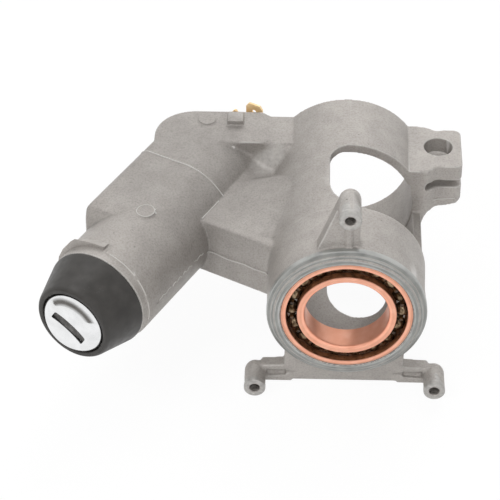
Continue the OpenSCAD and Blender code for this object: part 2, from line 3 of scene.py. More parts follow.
import bpy
import numpy as np
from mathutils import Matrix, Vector


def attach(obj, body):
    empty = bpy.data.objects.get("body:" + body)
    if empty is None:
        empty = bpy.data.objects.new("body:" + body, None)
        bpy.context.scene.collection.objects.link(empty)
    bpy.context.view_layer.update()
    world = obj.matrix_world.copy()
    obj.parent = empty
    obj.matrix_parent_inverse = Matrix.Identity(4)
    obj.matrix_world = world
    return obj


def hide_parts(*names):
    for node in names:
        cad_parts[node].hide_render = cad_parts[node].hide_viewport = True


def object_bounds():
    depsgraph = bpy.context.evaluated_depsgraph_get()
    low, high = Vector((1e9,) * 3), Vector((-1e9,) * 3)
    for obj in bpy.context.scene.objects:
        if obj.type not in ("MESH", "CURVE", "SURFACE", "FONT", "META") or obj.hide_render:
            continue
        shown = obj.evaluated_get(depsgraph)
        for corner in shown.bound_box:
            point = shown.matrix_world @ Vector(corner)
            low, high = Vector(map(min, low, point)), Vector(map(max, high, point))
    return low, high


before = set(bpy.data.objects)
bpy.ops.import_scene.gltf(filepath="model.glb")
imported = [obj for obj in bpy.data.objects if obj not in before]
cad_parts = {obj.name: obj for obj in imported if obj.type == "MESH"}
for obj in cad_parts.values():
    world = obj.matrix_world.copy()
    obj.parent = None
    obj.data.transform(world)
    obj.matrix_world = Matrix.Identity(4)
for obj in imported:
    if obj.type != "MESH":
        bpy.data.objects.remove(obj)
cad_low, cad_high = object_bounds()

# The housing is one aluminium die casting: the column tube with its clamp ears, the lock barrel
# beside it, the block for the locking bolt between them and three screw bosses at the front.
# The cast skin is left bare, so its edges are softly rounded and its grey is a little uneven.
MM = 0.001


def new_finish(name, colour, metallic, roughness):
    """A material with its plain values on the shader, and the tree for its detail."""
    finish = bpy.data.materials.new(name)
    finish.use_nodes = True
    tree = finish.node_tree
    shader = tree.nodes["Principled BSDF"]
    shader.inputs["Base Color"].default_value = (*colour, 1.0)
    shader.inputs["Metallic"].default_value = metallic
    shader.inputs["Roughness"].default_value = roughness
    return finish, tree, shader


def grain(tree, scale, detail=3.0, stretch=(1.0, 1.0, 1.0), turn=(0.0, 0.0, 0.0)):
    """Noise on the piece's own coordinates; a scale of 1000 gives spots about 1 mm wide."""
    coords = tree.nodes.new("ShaderNodeTexCoord")
    place = tree.nodes.new("ShaderNodeMapping")
    place.inputs["Scale"].default_value = stretch
    place.inputs["Rotation"].default_value = turn
    noise = tree.nodes.new("ShaderNodeTexNoise")
    noise.inputs["Scale"].default_value = scale
    noise.inputs["Detail"].default_value = detail
    tree.links.new(coords.outputs["Object"], place.inputs["Vector"])
    tree.links.new(place.outputs["Vector"], noise.inputs["Vector"])
    return noise.outputs["Fac"]


def spread(tree, source, low, high, start=0.3, end=0.7):
    """The source's range from start to end, spread over low to high."""
    node = tree.nodes.new("ShaderNodeMapRange")
    node.inputs["From Min"].default_value = start
    node.inputs["From Max"].default_value = end
    node.inputs["To Min"].default_value = low
    node.inputs["To Max"].default_value = high
    tree.links.new(source, node.inputs["Value"])
    return node.outputs["Result"]


def shades(tree, source, *stops):
    """A colour ramp of (position, colour) stops."""
    node = tree.nodes.new("ShaderNodeValToRGB")
    ramp = node.color_ramp
    while len(ramp.elements) < len(stops):
        ramp.elements.new(0.5)
    for element, (position, colour) in zip(ramp.elements, stops):
        element.position = position
        element.color = (*colour, 1.0)
    tree.links.new(source, node.inputs["Fac"])
    return node.outputs["Color"]


def mixed(tree, first, second, amount, how="MIX"):
    """Two colours mixed by a number or by another node's value."""
    node = tree.nodes.new("ShaderNodeMix")
    node.data_type = "RGBA"
    node.blend_type = how
    for place, value in ((0, amount), (6, first), (7, second)):
        if isinstance(value, bpy.types.NodeSocket):
            tree.links.new(value, node.inputs[place])
        elif isinstance(value, tuple):
            node.inputs[place].default_value = (*value, 1.0)
        else:
            node.inputs[place].default_value = value
    return node.outputs[2]


def coat(tree, shader, tone, rough):
    """Gives the shader its colour and its roughness from these nodes."""
    tree.links.new(tone, shader.inputs["Base Color"])
    tree.links.new(rough, shader.inputs["Roughness"])


def relief(tree, shader, *layers):
    """Bumps laid one over the other from (source, height in mm) layers."""
    last = None
    for source, height in layers:
        node = tree.nodes.new("ShaderNodeBump")
        node.inputs["Distance"].default_value = height * MM
        node.inputs["Strength"].default_value = 1.0
        tree.links.new(source, node.inputs["Height"])
        if last is not None:
            tree.links.new(last, node.inputs["Normal"])
        last = node.outputs["Normal"]
    tree.links.new(last, shader.inputs["Normal"])


def edge_light(tree):
    """How sharply the surface turns outwards, for painted highlights on edges and painted shade in
    creases.
    """
    return tree.nodes.new("ShaderNodeNewGeometry").outputs["Pointiness"]


def near(tree, place, reach):
    """1 at a place in mm, fading to 0 at reach mm from it."""
    coords = tree.nodes.new("ShaderNodeTexCoord")
    apart = tree.nodes.new("ShaderNodeVectorMath")
    apart.operation = "DISTANCE"
    apart.inputs[1].default_value = Vector(place) * MM
    tree.links.new(coords.outputs["Object"], apart.inputs[0])
    return spread(tree, apart.outputs["Value"], 1.0, 0.0, 0.3 * reach * MM, reach * MM)


def cast_finish(name, painted_edges_and_creases):
    """The bare cast skin, with painted highlights on its edges and painted shade in its creases if asked
    for.
    """
    finish, tree, shader = new_finish(name, (0.38, 0.354, 0.33), 0.35, 0.5)
    blotches = shades(
        tree, grain(tree, 160.0, 6.0),
        (0.3, (0.342, 0.319, 0.298)), (0.5, (0.37, 0.345, 0.322)), (0.7, (0.398, 0.373, 0.349)))
    specks = shades(
        tree, grain(tree, 1700.0, 4.0),
        (0.25, (0.74, 0.74, 0.74)), (0.5, (1.0, 1.0, 1.0)), (0.8, (1.16, 1.16, 1.16)))
    skin = mixed(tree, blotches, specks, 0.85, "MULTIPLY")
    # painted shade: the colour is darkened towards the head, most there and less along the barrel, fading
    # out 58 mm away
    head_painted_shade = mixed(tree, (1.0, 1.0, 1.0), (0.77, 0.77, 0.77), near(tree, (-54.0, 54.0, 14.0), 58.0))
    skin = mixed(tree, skin, head_painted_shade, 1.0, "MULTIPLY")
    if painted_edges_and_creases:
        # painted highlight on the sharp outward edges, and painted shade in the concave creases
        edge_painted_highlight = spread(tree, edge_light(tree), 0.0, 0.75, 0.516, 0.565)
        skin = mixed(tree, skin, (0.6, 0.585, 0.565), edge_painted_highlight)
        crease_painted_shade = spread(tree, edge_light(tree), 0.55, 0.0, 0.42, 0.487)
        skin = mixed(tree, skin, (0.15, 0.143, 0.134), crease_painted_shade)
        # painted highlight: the cove where the block runs up to the head beside the tube is lightened in
        # patches
        for place, reach in (((-28.0, 64.0, 10.5), 6.0), ((-24.0, 65.5, 14.0), 5.0)):
            cove_painted_highlight = mixed(tree, (0.0, 0.0, 0.0), near(tree, place, reach), grain(tree, 700.0, 4.0))
            skin = mixed(tree, skin, (0.62, 0.6, 0.575), spread(tree, cove_painted_highlight, 0.0, 0.6, 0.05, 0.75))
    pits = spread(tree, grain(tree, 420.0, 2.0), 0.0, 0.6, 0.72, 0.76)
    skin = mixed(tree, skin, (0.17, 0.16, 0.15), pits)
    coat(tree, shader, skin, spread(tree, grain(tree, 260.0, 4.0), 0.42, 0.58))
    relief(tree, shader, (grain(tree, 240.0, 3.0), 0.05), (grain(tree, 1700.0, 3.0), 0.03))
    return finish


cast_skin = cast_finish("cast_skin", True)


def look_at(piece):
    """Makes this piece the only selected one and the active one."""
    bpy.ops.object.select_all(action="DESELECT")
    piece.select_set(True)
    bpy.context.view_layer.objects.active = piece


def open_mesh(piece):
    """Opens the piece in edit mode with its whole mesh selected."""
    look_at(piece)
    bpy.ops.object.mode_set(mode="EDIT")
    bpy.ops.mesh.select_all(action="SELECT")


def finish_mesh(piece, finish, angle=32.0):
    """Gives the piece its material and smooth shading up to an angle."""
    look_at(piece)
    piece.data.materials.clear()
    piece.data.materials.append(finish)
    bpy.ops.object.shade_smooth_by_angle(angle=math.radians(angle))


def apply_modifier(piece, kind, **settings):
    """Adds a modifier with these settings and applies it."""
    look_at(piece)
    modifier = piece.modifiers.new(kind.lower(), kind)
    for setting, value in settings.items():
        setattr(modifier, setting, value)
    bpy.ops.object.modifier_apply(modifier=modifier.name)


def triangles(piece):
    """How many triangles the piece's mesh has."""
    return sum(len(face.vertices) - 2 for face in piece.data.polygons)


def merged_copy(node, name):
    """A copy of a CAD node's mesh as a new piece, with its loose triangles merged."""
    piece = bpy.data.objects.new(name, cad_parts[node].data.copy())
    bpy.context.scene.collection.objects.link(piece)
    open_mesh(piece)
    bpy.ops.mesh.remove_doubles(threshold=0.000002)
    bpy.ops.object.mode_set(mode="OBJECT")
    return piece


def drawn(name, points):
    """A chain of edges drawn through points in mm, left open in edit mode."""
    bpy.ops.object.select_all(action="DESELECT")
    bpy.ops.mesh.primitive_plane_add(size=MM, location=(0.0, 0.0, 0.0))
    piece = bpy.context.object
    piece.name = name
    bpy.ops.object.mode_set(mode="EDIT")
    bpy.ops.mesh.select_all(action="SELECT")
    bpy.ops.mesh.merge(type="CENTER")
    corners = [Vector(point) * MM for point in points]
    bpy.ops.transform.translate(value=corners[0])
    for here, there in zip(corners, corners[1:]):
        bpy.ops.mesh.extrude_region_move(TRANSFORM_OT_translate={"value": there - here})
    bpy.ops.mesh.select_all(action="SELECT")
    bpy.ops.mesh.remove_doubles(threshold=0.000001)
    bpy.ops.mesh.select_all(action="SELECT")
    return piece


def hull(name, points):
    """A small solid lump stretched over its corner points, given in mm."""
    piece = drawn(name, points)
    bpy.ops.mesh.convex_hull()
    bpy.ops.mesh.select_all(action="SELECT")
    bpy.ops.mesh.normals_make_consistent(inside=False)
    bpy.ops.object.mode_set(mode="OBJECT")
    return piece


def slab(name, plan, low, high):
    """A flat lump over a convex plan of (x, y) points, between two heights in mm."""
    return hull(name, [(x, y, z) for z in (low, high) for x, y in plan])


LOCK = Vector((0.479474, 0.877556, 0.0))
LOCK_SIDE = Vector((0.877556, -0.479474, 0.0))
LOCK_FACE = Vector((-86.7, -6.2, 0.0))
COLUMN = Vector((0.0, 1.0, 0.0))
UP = Vector((0.0, 0.0, 1.0))


def lock_point(u, s, z):
    """A point in mm from the lock's own measures: across, along from the face, and up."""
    return LOCK_FACE + LOCK_SIDE * u + LOCK * s + UP * z


def barrel_point(angle, s, radius):
    """A point in mm round the barrel, the angle in degrees from the top towards the column."""
    turn = math.radians(angle)
    return lock_point(radius * math.sin(turn), s, radius * math.cos(turn))


def plan_of(*pairs):
    """Plan points (x, y) from (u, s) pairs."""
    return [tuple(lock_point(u, s, 0.0))[:2] for u, s in pairs]


housing = merged_copy("housing", "cast_housing")

# the arms' fronts are flush with the foot, with a triangular hollow that opens towards each boss
arm_front = 4.25
arm_root = 16.6
boss_side = 25.5
for side in (-1.0, 1.0):
    cuts = [[(side * x, y, z) for y in (-1.0, arm_front) for x, z in edges] for edges in (
        ((arm_root, -24.0), (26.6, -24.0), (26.6, -26.5), (boss_side, -28.2), (arm_root, -28.2)),
        ((arm_root, -28.1), (boss_side, -28.1), (boss_side, -29.9), (arm_root, -29.9)),
        ((arm_root, -29.8), (boss_side, -29.8), (26.6, -31.7), (26.6, -34.0), (arm_root, -34.0)))]
    cuts.append([(side * x, y, z) for x, y, z in (
        (13.6, 4.1, -28.1), (14.0, 4.4, -28.3), (boss_side, 3.9, -27.1), (boss_side, 3.9, -30.2),
        (boss_side, 6.1, -27.7), (boss_side, 6.1, -29.6))])
    for corners in cuts:
        hollow = hull("hollow", corners)
        apply_modifier(housing, "BOOLEAN", object=hollow, operation="DIFFERENCE", solver="EXACT")
        bpy.data.objects.remove(hollow)

lumps = []
# lower half of the block's front, a little proud of the parting line, and its floor
lumps.append(hull("lump", [
    lock_point(u, s, z) for u in (14.5, 42.4) for s in (54.25, 55.1) for z in (-10.8, -1.9)]))
block_floor = plan_of((14.5, 54.25), (42.4, 54.25)) + [(-22.9, 69.0), (-44.0, 69.0)]
lumps.append(slab("lump", block_floor, -10.8, -8.2))
# cove where the block runs up to the head beside the tube
lumps.append(hull("lump", [
    (-32.0, 66.9, 9.8), (-32.0, 67.6, 9.8), (-24.2, 61.4, 9.8), (-20.0, 61.4, 9.8),
    (-19.6, 64.5, 16.0), (-19.6, 67.6, 17.4), (-25.4, 67.3, 17.4), (-20.0, 67.6, 9.8)]))
# flush faces of the arms above and below their hollows
for side in (-1.0, 1.0):
    lumps.append(hull("lump", [
        (side * x, y, z) for y in (4.2, 5.4)
        for x, z in ((18.0, -25.1), (26.2, -25.7), (26.2, -27.2), (18.0, -27.0))]))
    lumps.append(hull("lump", [
        (side * x, y, z) for y in (4.2, 5.4)
        for x, z in ((18.0, -29.8), (26.2, -30.2), (26.6, -32.2), (18.0, -31.5))]))
# film of metal left over the root of the clamp slit
lumps.append(hull("lump", [
    (x, y, z) for x in (21.2, 26.3) for y in (56.75, 57.5) for z in (5.2, 9.4)]))
look_at(housing)
for lump in lumps:
    lump.select_set(True)
bpy.ops.object.join()
skin_step = 0.34
apply_modifier(housing, "REMESH", mode="VOXEL", voxel_size=skin_step * MM)
apply_modifier(housing, "SMOOTH", factor=0.5, iterations=2)


def soften(piece, lines, reach, rounds):
    """Rounds the casting further along these lines, fading out over reach mm."""
    count = len(piece.data.vertices)
    places = np.empty(count * 3)
    piece.data.vertices.foreach_get("co", places)
    places = places.reshape(-1, 3) / MM
    nearest = np.full(count, 1e9)
    for first, last in lines:
        start = np.array(first)
        run = np.array(last) - start
        along = np.clip((places - start) @ run / (run @ run), 0.0, 1.0)
        apart = np.linalg.norm(places - start - along[:, None] * run, axis=1)
        nearest = np.minimum(nearest, apart)
    weight = np.clip(1.6 - 1.6 * nearest / reach, 0.0, 1.0)
    group = piece.vertex_groups.new(name="soften")
    for level in range(1, 11):
        chosen = np.flatnonzero(np.ceil(weight * 10) == level)
        group.add(chosen.tolist(), level / 10, "REPLACE")
    apply_modifier(piece, "SMOOTH", factor=0.5, iterations=rounds, vertex_group="soften")
    piece.vertex_groups.remove(piece.vertex_groups["soften"])


block_edges = [
    (tuple(lock_point(16.5, 54.7, 10.0)), tuple(lock_point(43.0, 54.7, 10.0))),
    ((-42.0, 67.1, 10.0), (-32.0, 67.1, 10.0)), ((-24.1, 26.0, 9.9), (-24.1, 61.0, 9.9)),
    ((-32.0, 66.9, 9.9), (-24.2, 61.4, 9.9)), ((-32.0, 67.0, 9.9), (-25.4, 67.2, 17.0)),
    ((-24.2, 61.4, 9.9), (-19.8, 64.5, 15.8))]
barrel_shoulder = [
    (tuple(lock_point(-17.0, 35.0, 1.0)), tuple(lock_point(-17.0, 35.2, 13.0))),
    (tuple(lock_point(-17.0, 35.2, 13.0)), tuple(lock_point(-14.0, 38.5, 17.0)))]
head_step = [
    ((-38.6, 66.9, 16.8), (-43.9, 66.9, 17.4)), ((-43.9, 66.9, 17.4), (-50.0, 60.0, 17.4))]
ear_roots = [
    ((26.4, 56.7, 14.4), (26.4, 56.7, -3.0)), ((30.0, 59.5, 14.4), (30.0, 59.5, -2.0)),
    ((26.4, 82.0, 14.4), (26.4, 82.0, -3.0)), ((30.0, 80.0, 14.4), (30.0, 80.0, -2.0))]
soften(housing, block_edges, 3.2, 60)
soften(housing, barrel_shoulder, 3.0, 40)
soften(housing, head_step, 3.0, 40)
soften(housing, ear_roots, 2.6, 36)
housing_triangles = 196000
apply_modifier(housing, "DECIMATE", ratio=housing_triangles / triangles(housing))
# Slivers are turned into better shaped triangles. At 8 degrees this goes too far in places: it also
# lays flat facets over the hollow between block and tube and on the round collar.
open_mesh(housing)
bpy.ops.mesh.beautify_fill(angle_limit=math.radians(8.0))
bpy.ops.object.mode_set(mode="OBJECT")
finish_mesh(housing, cast_skin, 60.0)
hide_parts("housing")
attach(housing, "body")

# Fine raised lines of flash are left on the casting where the halves and slides of the die met,
# and a ring mark, a round pad, a wedge and a low pad behind the bezel stand on its upper side.
def bead(name, points, radius, closed=False):
    """A thin bead along a path in mm, half sunk into the surface that it follows."""
    piece = drawn(name, points + points[:1] if closed else points)
    bpy.ops.object.mode_set(mode="OBJECT")
    bpy.ops.object.convert(target="CURVE")
    piece = bpy.context.object
    piece.data.bevel_depth = radius * MM
    piece.data.bevel_resolution = 2
    piece.data.use_fill_caps = True
    bpy.ops.object.convert(target="MESH")
    piece = bpy.context.object
    piece.name = name
    return piece


def laid(points):
    """The points in mm, each moved to the nearest place on the casting's skin."""
    places = [housing.closest_point_on_mesh(Vector(point) * MM)[1] for point in points]
    return [place / MM for place in places]


cast_plain = cast_finish("cast_plain", False)


def cast_piece(piece, finish=cast_plain):
    """Finishes a piece as part of the casting."""
    finish_mesh(piece, finish, 40.0)
    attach(piece, "body")


corner_turn = [math.radians(angle) for angle in range(175, 94, -10)]
slide_line = [
    lock_point(-14.0 + 3.6 * math.cos(turn), 69.0, 13.9 + 3.6 * math.sin(turn)) for turn in corner_turn]
slide_line += [lock_point(float(u), 69.0, 17.5) for u in range(-13, -1, 2)]
slide_line += [barrel_point(angle, 69.0, 17.6) for angle in range(0, 58, 4)]
cast_piece(bead("slide_line", laid(slide_line), 0.2), cast_skin)

root_line = [lock_point(14.6, 55.5 + 1.5 * step, 9.95) for step in range(8)]
cast_piece(bead("root_line", laid(root_line), 0.2), cast_skin)

for number, (first, last) in enumerate(((11, 47), (51, 74), (79, 104)), 1):
    collar_line = [barrel_point(angle, 18.1, 17.42) for angle in range(first, last, 4)]
    cast_piece(bead("collar_line_" + str(number), laid(collar_line), 0.15), cast_skin)

wander = (0.0, 0.12, 0.3, 0.2, -0.05, -0.2, -0.1, 0.1, 0.25, 0.05, -0.15, 0.0, 0.15, -0.05)
block_line = [lock_point(15.0 + 2.0 * step, 54.22, -1.9 + rise) for step, rise in enumerate(wander)]
cast_piece(bead("block_line", laid(block_line), 0.2), cast_skin)

for number, (first, last) in enumerate(((24.0, 31.0), (32.2, 37.5), (38.6, 44.0), (45.5, 51.0)), 1):
    side_line = [
        barrel_point(90.0 + 1.5 * math.sin(1.9 * step + number), first + (last - first) * step / 6, 17.56)
        for step in range(7)]
    cast_piece(bead("side_line_" + str(number), laid(side_line), 0.17), cast_skin)

ear_line = [(37.0, 62.8, 1.2), (36.2, 60.4, 1.2), (34.0, 59.5, 1.1), (31.0, 59.5, 0.9), (29.3, 58.9, 0.8)]
cast_piece(bead("ear_line", laid(ear_line), 0.16), cast_skin)

mark_ring = []
for step in range(36):
    turn = math.radians(10.0 * step)
    mark_ring.append(lock_point(1.8 + 2.95 * math.cos(turn), 41.8 + 2.95 * math.sin(turn), 17.68))
cast_piece(bead("ring_mark", laid(mark_ring), 0.15, closed=True), cast_skin)

wedge_side = ((76.55, 17.0), (76.55, 19.3), (84.1, 17.7), (84.1, 17.0))
wedge = hull("wedge_pad", [(x, y, z) for x in (-40.35, -35.15) for y, z in wedge_side])
open_mesh(wedge)
bpy.ops.mesh.bevel(offset=0.22 * MM, segments=2, affect="EDGES")
bpy.ops.object.mode_set(mode="OBJECT")
cast_piece(wedge)

# the low pad behind the bezel, highest at the upper left, with a square end on top of the barrel
pad_top = (
    (0.6, 18.4), (-4.0, 18.15), (-8.5, 17.55), (-10.6, 17.0), (-12.2, 15.4), (-15.5, 10.8), (-17.3, 6.7),
    (-18.0, 2.0))
rings = []
for u, z in pad_top:
    out = math.hypot(u, z)
    ring = [(16.3, 19.0), (out, 19.0), (out * 0.4 + 10.5, 20.6), (17.4, 23.0), (16.3, 23.0)]
    ring = [lock_point(u * radius / out, s, z * radius / out) for radius, s in ring]
    rings.append(drawn("low_pad", ring + ring[:1]))
    bpy.ops.object.mode_set(mode="OBJECT")
low_pad = rings[0]
look_at(low_pad)
for ring in rings[1:]:
    ring.select_set(True)
bpy.ops.object.join()
open_mesh(low_pad)
bpy.ops.mesh.bridge_edge_loops()
bpy.ops.mesh.select_all(action="SELECT")
bpy.ops.mesh.fill_holes(sides=0)
bpy.ops.mesh.select_all(action="SELECT")
bpy.ops.mesh.normals_make_consistent(inside=False)
bpy.ops.object.mode_set(mode="OBJECT")
apply_modifier(
    low_pad, "BEVEL", width=0.16 * MM, segments=2, limit_method="ANGLE",
    angle_limit=math.radians(40.0))
cast_piece(low_pad)


def eased(corners, radius, steps=4):
    """The corners of a closed outline, each replaced by a small arc."""
    points = []
    count = len(corners)
    for place, corner in enumerate(corners):
        here = Vector(corner)
        before = Vector(corners[place - 1]) - here
        after = Vector(corners[(place + 1) % count]) - here
        reach = min(radius, before.length * 0.45, after.length * 0.45)
        start = here + before.normalized() * reach
        end = here + after.normalized() * reach
        for step in range(steps + 1):
            part = step / steps
            one = start.lerp(here, part)
            two = here.lerp(end, part)
            points.append(tuple(one.lerp(two, part)))
    return points


def turned(name, outline, centre, axis, outward, steps=96):
    """A turned piece: its outline of (radius, along) in mm is drawn and spun about the axis."""
    points = [centre + axis * along + outward * radius for radius, along in outline]
    piece = drawn(name, points + points[:1])
    bpy.ops.mesh.spin(steps=steps, angle=2 * math.pi, center=centre * MM, axis=axis)
    bpy.ops.mesh.select_all(action="SELECT")
    bpy.ops.mesh.remove_doubles(threshold=0.000001)
    bpy.ops.mesh.select_all(action="SELECT")
    bpy.ops.mesh.normals_make_consistent(inside=False)
    bpy.ops.object.mode_set(mode="OBJECT")
    return piece


pad_outline = eased([(0.04, 17.1), (2.95, 17.1), (2.93, 18.0), (0.04, 18.0)], 0.14)
round_pad = turned("round_pad", pad_outline, Vector((-47.4, 79.3, 0.0)), UP, COLUMN, 48)
cast_piece(round_pad)

# The mouth of the column tube is turned after casting: a flat face, a shallow step and a cone.
# The bearing is pressed into its seat from this side, so the cut metal is smoother and cooler in
# colour than the cast skin, with fine rings from the tool.
def tool_rings(tree, pitch):
    """Fine rings about the column, as a turning tool leaves them, pitch in mm."""
    coords = tree.nodes.new("ShaderNodeTexCoord")
    place = tree.nodes.new("ShaderNodeMapping")
    place.vector_type = "TEXTURE"
    place.inputs["Rotation"].default_value = (math.pi / 2, 0.0, 0.0)
    rings = tree.nodes.new("ShaderNodeTexWave")
    rings.wave_type = "RINGS"
    rings.rings_direction = "Z"
    rings.inputs["Scale"].default_value = 0.05 * math.pi / (pitch * MM)
    rings.inputs["Distortion"].default_value = 0.6
    rings.inputs["Detail"].default_value = 1.0
    tree.links.new(coords.outputs["Object"], place.inputs["Vector"])
    tree.links.new(place.outputs["Vector"], rings.inputs["Vector"])
    return rings.outputs["Fac"]


cut_metal, tree, shader = new_finish("cut_metal", (0.27, 0.272, 0.26), 0.6, 0.4)
cut_tone = shades(
    tree, grain(tree, 180.0, 4.0),
    (0.3, (0.2, 0.205, 0.196)), (0.7, (0.32, 0.322, 0.308)))
ring_lines = mixed(tree, (0.0, 0.0, 0.0), tool_rings(tree, 0.62), grain(tree, 120.0, 5.0))
ring_share = spread(tree, ring_lines, 0.0, 0.7, 0.25, 0.55)
cut_tone = mixed(tree, cut_tone, (0.5, 0.505, 0.49), ring_share)
coat(tree, shader, cut_tone, spread(tree, grain(tree, 900.0, 3.0), 0.28, 0.46))
relief(tree, shader, (tool_rings(tree, 0.31), 0.02), (grain(tree, 1200.0, 2.0), 0.01))

mouth_outline = eased(
    [(21.06, 3.0), (21.06, 0.3), (21.35, -0.02), (22.9, -0.05), (22.96, 0.44), (24.1, 0.46),
     (24.16, 0.9), (25.5, 1.76), (25.52, 3.4), (24.0, 3.4)], 0.16)
mouth = turned("mouth_ring", mouth_outline, Vector(), COLUMN, UP, 160)
finish_mesh(mouth, cut_metal)
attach(mouth, "body")

# Three screw bosses stand out in front of the mouth, one over the tube on a web and two below on
# bent arms. Each end is faced flat and tapped for a 4 mm screw that holds the column covers.
faced_grey, tree, shader = new_finish("faced_grey", (0.4, 0.388, 0.37), 0.5, 0.4)
faced_tone = shades(
    tree, grain(tree, 700.0, 4.0), (0.3, (0.33, 0.32, 0.305)), (0.7, (0.47, 0.456, 0.435)))
coat(tree, shader, faced_tone, spread(tree, grain(tree, 900.0, 3.0), 0.32, 0.5))
relief(tree, shader, (grain(tree, 1500.0, 3.0), 0.012))


def other_finish(piece, finish, chosen):
    """A second material for the faces that are chosen by their middle, in mm."""
    piece.data.materials.append(finish)
    for face in piece.data.polygons:
        if chosen(face.center / MM):
            face.material_index = len(piece.data.materials) - 1


# painted shade: the threads and the bores of the tapped holes are dark, for the shade inside the holes
thread_painted_shade, tree, shader = new_finish("thread_painted_shade", (0.1, 0.096, 0.09), 0.9, 0.3)
thread_tone = shades(
    tree, grain(tree, 900.0, 3.0), (0.35, (0.05, 0.048, 0.045)), (0.7, (0.3, 0.29, 0.28)))
coat(tree, shader, thread_tone, spread(tree, grain(tree, 700.0, 3.0), 0.22, 0.4))

boss_outline = eased(
    [(1.78, 3.0), (1.78, -2.6), (2.1, -3.02), (3.2, -3.03), (3.5, -2.75), (3.52, -1.2), (3.3, -0.6),
     (3.0, 3.0)], 0.14)
boss_height = 41.1
boss_places = ((0.0, boss_height), (-29.06, -29.06), (29.06, -29.06))
first_boss = turned("boss_end_top", boss_outline, UP * boss_height, COLUMN, UP, 48)

bpy.ops.object.select_all(action="DESELECT")
bpy.ops.mesh.primitive_circle_add(vertices=3, radius=0.2 * MM, location=(0.0, 0.0, 0.0))
thread = bpy.context.object
thread.name = "boss_thread_top"
open_mesh(thread)
bpy.ops.transform.resize(value=(1.0, 1.4, 1.0))
bpy.ops.transform.translate(value=(1.74 * MM, -2.4 * MM, 0.0))
bpy.ops.object.mode_set(mode="OBJECT")
apply_modifier(
    thread, "SCREW", axis="Y", screw_offset=0.7 * MM, iterations=10, steps=32, render_steps=32,
    use_smooth_shade=True)
open_mesh(thread)
bpy.ops.transform.translate(value=UP * (boss_height * MM))
bpy.ops.mesh.normals_make_consistent(inside=False)
bpy.ops.object.mode_set(mode="OBJECT")


def moved_copy(piece, name, shift):
    """A copy with its own mesh, moved by shift."""
    twin = bpy.data.objects.new(name, piece.data.copy())
    bpy.context.scene.collection.objects.link(twin)
    open_mesh(twin)
    bpy.ops.transform.translate(value=shift)
    bpy.ops.object.mode_set(mode="OBJECT")
    return twin


boss_names = ("top", "left", "right")
for boss_name, (x, z) in zip(boss_names, boss_places):
    if boss_name == "top":
        boss_pieces = (first_boss, thread)
    else:
        shift = Vector((x * MM, 0.0, (z - boss_height) * MM))
        boss_pieces = (
            moved_copy(first_boss, "boss_end_" + boss_name, shift),
            moved_copy(thread, "boss_thread_" + boss_name, shift))
    finish_mesh(boss_pieces[0], faced_grey)
    other_finish(boss_pieces[0], thread_painted_shade, lambda place: math.hypot(place.x - x, place.z - z) < 1.95)
    finish_mesh(boss_pieces[1], thread_painted_shade)
    for piece in boss_pieces:
        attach(piece, "body")

# The column bearing is a single-row ball bearing, 42 mm outside, pressed into the mouth. Its two rings
# have a copper-coloured plated finish, satin on the faces, with painted highlights along the edges and
# painted shade beside the gaps.
copper, tree, shader = new_finish("copper_plate", (0.84, 0.41, 0.28), 0.7, 0.34)
copper_tone = shades(
    tree, grain(tree, 220.0, 4.0),
    (0.3, (0.79, 0.365, 0.24)), (0.55, (0.85, 0.42, 0.29)), (0.75, (0.9, 0.49, 0.35)))
coords = tree.nodes.new("ShaderNodeTexCoord")
flat = tree.nodes.new("ShaderNodeVectorMath")
flat.operation = "MULTIPLY"
flat.inputs[1].default_value = (1.0, 0.0, 1.0)
tree.links.new(coords.outputs["Object"], flat.inputs[0])
from_axis = tree.nodes.new("ShaderNodeVectorMath")
from_axis.operation = "LENGTH"
tree.links.new(flat.outputs["Vector"], from_axis.inputs[0])
# painted highlights on the chamfers and painted shade in dark lines beside the gaps, by the distance from
# the column's axis in mm
lines_from = 13.0
lines_to = 21.5
painted_edge_rings = [
    ((radius - lines_from) / (lines_to - lines_from), (tone, tone, tone)) for radius, tone in (
        (13.4, 1.0), (13.75, 1.22), (14.25, 1.1), (14.6, 0.92), (15.5, 1.0), (15.85, 0.85), (19.4, 0.8),
        (19.75, 1.08), (20.35, 0.95), (20.6, 0.7), (20.8, 1.0), (21.0, 0.8))]
line_place = spread(tree, from_axis.outputs["Value"], 0.0, 1.0, lines_from * MM, lines_to * MM)
painted_edge_tone = shades(tree, line_place, *painted_edge_rings)
copper_tone = mixed(tree, copper_tone, painted_edge_tone, 1.0, "MULTIPLY")
coat(tree, shader, copper_tone, spread(tree, grain(tree, 700.0, 3.0), 0.28, 0.44))
relief(tree, shader, (tool_rings(tree, 0.3), 0.004), (grain(tree, 1500.0, 2.0), 0.004))

# painted shade: the rings' faces inside the gap between them are dark brown copper, for the shade in the
# gap
gap_shade_copper, tree, shader = new_finish("gap_shade_copper", (0.1, 0.045, 0.02), 0.3, 0.35)
gap_shade_tone = shades(
    tree, grain(tree, 400.0, 4.0), (0.3, (0.07, 0.028, 0.012)), (0.7, (0.32, 0.13, 0.06)))
coat(tree, shader, gap_shade_tone, spread(tree, grain(tree, 600.0, 3.0), 0.25, 0.45))

ball_path = 17.65
ball_middle = 4.6
groove_radius = 2.41


def groove(land, side):
    """The race for the balls cut into a ring's land, as (radius, along) points."""
    reach = math.sqrt(groove_radius ** 2 - (land - ball_path) ** 2)
    points = []
    for step in range(13):
        along = reach * (step / 6 - 1)
        radius = ball_path + side * math.sqrt(groove_radius ** 2 - along ** 2)
        points.append((radius, ball_middle + along))
    return points


ring_front = 0.3
ring_back = 8.9
outer_outline = (
    [(19.45, ring_back), (21.0, ring_back)]
    + eased([(21.0, ring_back), (21.0, ring_front), (19.35, ring_front), (19.35, 2.0)], 0.25)[5:15]
    + groove(19.35, 1))
outer_ring = turned("bearing_ring_outer", outer_outline, Vector(), COLUMN, UP, 144)
finish_mesh(outer_ring, copper)
other_finish(
    outer_ring, gap_shade_copper,
    lambda place: place.y > 0.7 and math.hypot(place.x, place.z) < 20.5)
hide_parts("bearing_outer_ring")
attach(outer_ring, "body")

